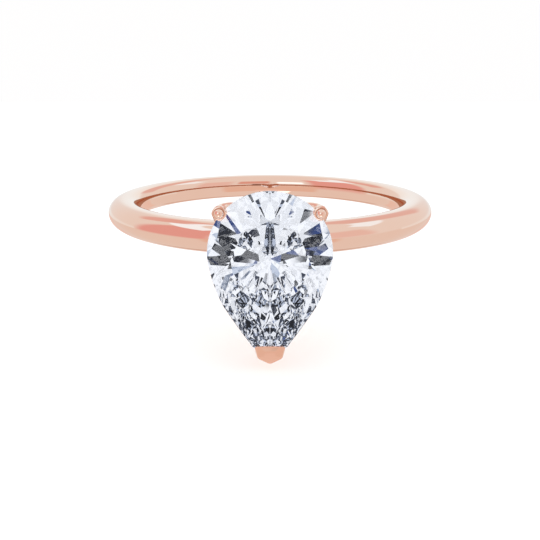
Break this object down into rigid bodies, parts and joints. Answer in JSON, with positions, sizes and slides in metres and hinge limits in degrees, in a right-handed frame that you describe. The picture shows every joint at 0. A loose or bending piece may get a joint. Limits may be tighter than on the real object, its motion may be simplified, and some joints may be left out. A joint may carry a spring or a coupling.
{
  "type": "engagement ring",
  "caption": "Slim rose-gold finger ring with a pear-cut clear stone held by petal claws at its round end and a chevron claw over its point.",
  "frame": {"origin": "centre of the finger hole, in the shank's middle plane", "axes": "+Z along the finger axis, away from the stone's point; the stone's table faces -Y; +X across the stone"},
  "size_m": [0.021, 0.0249, 0.0083],
  "materials": {
    "shank_gold": "14 ct rose gold, mirror polished",
    "peg_gold": "14 ct rose gold, as turned, soldered into the shank",
    "cup_gold": "14 ct rose gold, mirror polished",
    "rail_gold": "14 ct rose gold wire, mirror polished",
    "claw_gold": "14 ct rose gold, mirror polished with burnished tips",
    "diamond": "colourless brilliant-cut diamond, polished facets"
  },
  "bodies": {
    "root": {"shank": "shank_gold", "head_peg": "peg_gold", "base_cup": "cup_gold", "gallery_rail": "rail_gold", "claw_left": "claw_gold", "claw_right": "claw_gold", "claw_point": "claw_gold", "pear_stone": "diamond"}
  },
  "joints": []
}
